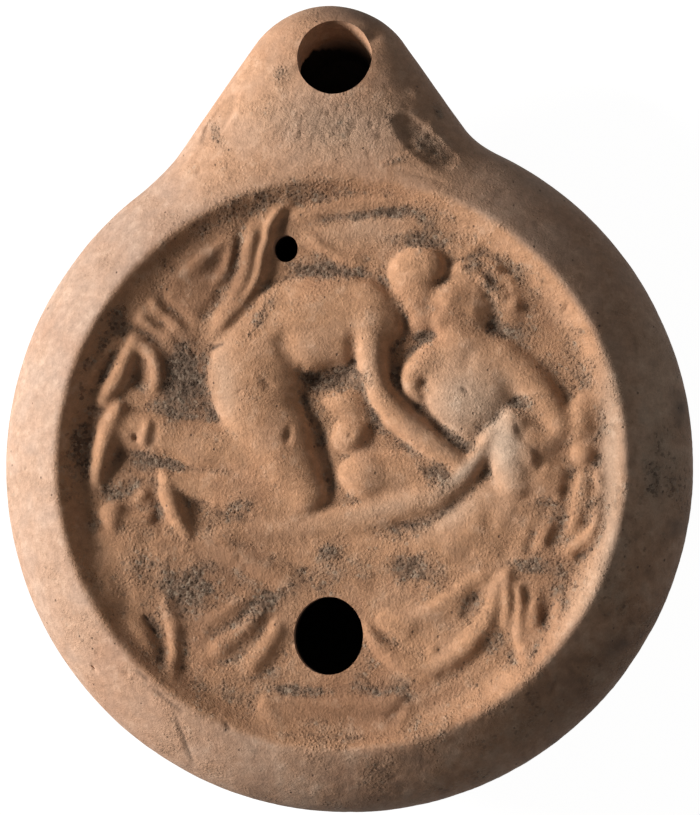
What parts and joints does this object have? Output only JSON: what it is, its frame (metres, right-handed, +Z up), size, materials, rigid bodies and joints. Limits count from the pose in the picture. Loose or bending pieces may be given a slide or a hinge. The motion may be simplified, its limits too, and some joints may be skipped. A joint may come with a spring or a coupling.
{
  "type": "oil lamp",
  "caption": "Hollow round clay oil lamp with a rounded nozzle, a wick hole, a filling hole and a sunken disc with a figured relief.",
  "frame": {"origin": "middle of the round flat base, on the surface that the lamp stands on", "axes": "+Y from the middle of the body towards the nozzle, +Z up through the pictorial disc, +X to the right seen from above with the nozzle pointing away"},
  "size_m": [0.084, 0.0982, 0.0237],
  "materials": {
    "fired_clay": "unglazed buff to orange fired clay, matt, with grey grit in the hollows of the relief"
  },
  "bodies": {
    "root": {"lamp": "fired_clay"}
  },
  "joints": []
}
